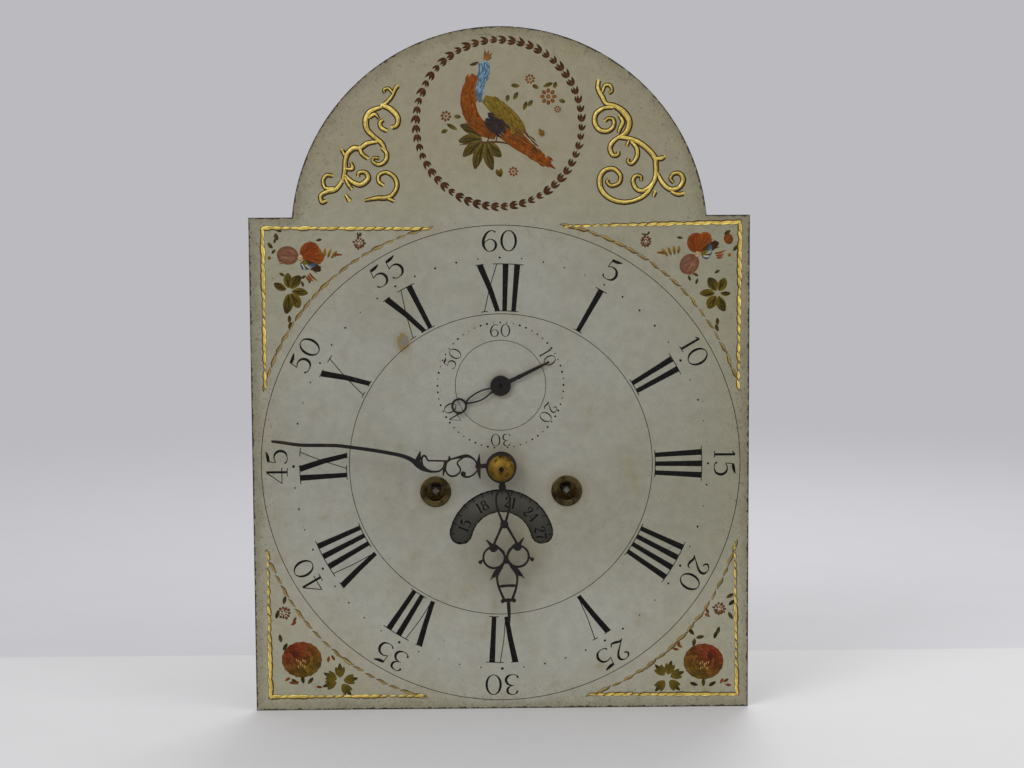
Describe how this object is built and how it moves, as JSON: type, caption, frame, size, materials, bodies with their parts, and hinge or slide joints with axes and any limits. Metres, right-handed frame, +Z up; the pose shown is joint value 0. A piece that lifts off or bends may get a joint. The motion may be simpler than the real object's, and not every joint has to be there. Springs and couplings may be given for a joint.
{
  "type": "longcase clock movement",
  "caption": "Eight-day striking longcase clock movement with a painted break-arch dial, hands, going and strike trains, bell and winding squares.",
  "frame": {"origin": "midway between the two seat screws, on the filed flats under the lower pillars' middle knops", "axes": "the dial faces -Y, the arbors lie along Y, +Z is up"},
  "size_m": [0.3048, 0.1587, 0.4191],
  "materials": {
    "painted_dial": "aged satin paint on iron",
    "iron": "dark iron",
    "brass": "aged brass",
    "steel": "polished steel",
    "blued_steel": "blued and blackened",
    "bell_metal": "turned bell metal"
  },
  "bodies": {
    "frame": {"dial_plate": "painted_dial", "dial_feet": "iron", "taper_pins": "steel", "winding_collets": "brass", "date_studs": "steel", "date_jumper": "steel", "front_plate": "brass", "back_plate": "brass", "lower_pillars": "brass", "upper_pillars": "brass", "back_cock": "brass", "bell_stand": "steel", "frame_screws": "steel", "bell": "bell_metal", "bell_nut": "steel", "hammer_spring": "steel", "hour_bridge": "brass", "strikework_studs": "steel"},
    "centre": {"centre_arbor": "steel", "centre_wheel": "brass", "cannon_wheel": "brass", "minute_hand": "blued_steel", "hand_collet": "brass"},
    "third": {"third_arbor": "steel", "third_wheel": "brass"},
    "escape": {"escape_arbor": "steel", "escape_wheel": "brass", "seconds_hand": "blued_steel"},
    "anchor": {"pallet_arbor": "steel", "anchor_pallets": "steel", "crutch": "steel"},
    "going_great": {"going_great_wheel": "brass", "going_click_spring": "steel"},
    "going_drum": {"going_barrel": "brass", "going_barrel_arbor": "steel"},
    "going_click": {"going_click": "steel"},
    "minute_work": {"minute_wheel": "brass"},
    "hour": {"hour_wheel": "brass", "snail": "steel", "hour_hand": "blued_steel"},
    "date_driver": {"date_wheel": "brass"},
    "date": {"date_disc": "iron"},
    "strike_great": {"strike_great_wheel": "brass", "strike_click_spring": "steel"},
    "strike_drum": {"strike_barrel": "brass", "strike_barrel_arbor": "steel"},
    "strike_click": {"strike_click": "steel"},
    "pin": {"pin_wheel_arbor": "steel", "pin_wheel": "brass"},
    "gathering": {"gathering_arbor": "steel", "gathering_wheel": "brass", "gathering_pallet": "steel"},
    "warning": {"warning_arbor": "steel", "warning_wheel": "brass"},
    "fly": {"fly_arbor": "steel", "fly_vane": "brass"},
    "hammer": {"hammer": "steel"},
    "rack": {"rack": "steel"},
    "rack_hook": {"rack_hook": "steel"},
    "lifting": {"lifting_piece": "steel"}
  },
  "joints": [
    {"name": "centre_turn", "type": "hinge", "parent": "frame", "child": "centre", "pos_m": [0, 0, 0.0663], "axis": [0, 1, 0], "continuous": true},
    {"name": "going_great_turn", "type": "hinge", "parent": "frame", "child": "going_great", "pos_m": [0.0403, 0, 0.05], "axis": [0, 1, 0], "continuous": true},
    {"name": "third_turn", "type": "hinge", "parent": "frame", "child": "third", "pos_m": [0.00705, 0, 0.09186], "axis": [0, 1, 0], "continuous": true},
    {"name": "escape_turn", "type": "hinge", "parent": "frame", "child": "escape", "pos_m": [0, 0, 0.1154], "axis": [0, 1, 0], "continuous": true},
    {"name": "minute_wheel_turn", "type": "hinge", "parent": "frame", "child": "minute_work", "pos_m": [0.02425, 0, 0.0803], "axis": [0, 1, 0], "continuous": true},
    {"name": "hour_turn", "type": "hinge", "parent": "frame", "child": "hour", "pos_m": [0, 0, 0.0663], "axis": [0, 1, 0], "continuous": true},
    {"name": "date_wheel_turn", "type": "hinge", "parent": "frame", "child": "date_driver", "pos_m": [0.0169, 0, 0.05222], "axis": [0, 1, 0], "continuous": true},
    {"name": "date_turn", "type": "hinge", "parent": "frame", "child": "date", "pos_m": [0, 0, 0.0185], "axis": [0, 1, 0], "continuous": true},
    {"name": "going_winding", "type": "hinge", "parent": "going_great", "child": "going_drum", "pos_m": [0.0403, 0, 0.05], "axis": [0, 1, 0], "continuous": true},
    {"name": "going_click_lift", "type": "hinge", "parent": "going_great", "child": "going_click", "pos_m": [0.03596, 0, 0.02538], "axis": [0, 1, 0], "range_deg": [0, 12], "stiffness_Nm_per_rad": 0.02},
    {"name": "anchor_rock", "type": "hinge", "parent": "frame", "child": "anchor", "pos_m": [0, 0, 0.14651], "axis": [0, 1, 0], "range_deg": [-3, 3]},
    {"name": "gathering_turn", "type": "hinge", "parent": "frame", "child": "gathering", "pos_m": [-0.03599, 0, 0.1103], "axis": [0, 1, 0], "continuous": true},
    {"name": "pin_wheel_turn", "type": "hinge", "parent": "frame", "child": "pin", "pos_m": [-0.04198, 0, 0.08842], "axis": [0, 1, 0], "continuous": true},
    {"name": "strike_great_turn", "type": "hinge", "parent": "frame", "child": "strike_great", "pos_m": [-0.0403, 0, 0.05], "axis": [0, 1, 0], "continuous": true},
    {"name": "warning_turn", "type": "hinge", "parent": "frame", "child": "warning", "pos_m": [-0.02598, 0, 0.12743], "axis": [0, 1, 0], "continuous": true},
    {"name": "fly_turn", "type": "hinge", "parent": "frame", "child": "fly", "pos_m": [-0.03796, 0, 0.13829], "axis": [0, 1, 0], "continuous": true},
    {"name": "strike_winding", "type": "hinge", "parent": "strike_great", "child": "strike_drum", "pos_m": [-0.0403, 0, 0.05], "axis": [0, 1, 0], "continuous": true},
    {"name": "strike_click_lift", "type": "hinge", "parent": "strike_great", "child": "strike_click", "pos_m": [-0.04464, 0, 0.02538], "axis": [0, 1, 0], "range_deg": [0, 12], "stiffness_Nm_per_rad": 0.02},
    {"name": "hammer_swing", "type": "hinge", "parent": "frame", "child": "hammer", "pos_m": [-0.056, 0, 0.119], "axis": [0, 1, 0], "range_deg": [-8, 1], "stiffness_Nm_per_rad": 0.3},
    {"name": "rack_fall", "type": "hinge", "parent": "frame", "child": "rack", "pos_m": [-0.0335, 0, 0.068], "axis": [0, 1, 0], "range_deg": [-18, 0]},
    {"name": "lifting_rise", "type": "hinge", "parent": "frame", "child": "lifting", "pos_m": [0.046, 0, 0.104], "axis": [0, 1, 0], "range_deg": [0, 4]},
    {"name": "rack_hook_rise", "type": "hinge", "parent": "frame", "child": "rack_hook", "pos_m": [0.008, 0, 0.103], "axis": [0, 1, 0], "range_deg": [0, 9]}
  ],
  "couplings": [
    {"joint": "going_great_turn", "follows": "centre_turn", "ratio": -0.083333},
    {"joint": "third_turn", "follows": "centre_turn", "ratio": -7.5},
    {"joint": "escape_turn", "follows": "centre_turn", "ratio": 60},
    {"joint": "minute_wheel_turn", "follows": "centre_turn", "ratio": -1},
    {"joint": "hour_turn", "follows": "centre_turn", "ratio": 0.083333},
    {"joint": "date_wheel_turn", "follows": "centre_turn", "ratio": -0.041667},
    {"joint": "pin_wheel_turn", "follows": "gathering_turn", "ratio": -0.125},
    {"joint": "strike_great_turn", "follows": "gathering_turn", "ratio": 0.011905},
    {"joint": "warning_turn", "follows": "gathering_turn", "ratio": -7},
    {"joint": "fly_turn", "follows": "gathering_turn", "ratio": 42},
    {"joint": "rack_hook_rise", "follows": "lifting_rise", "ratio": 2.25}
  ]
}
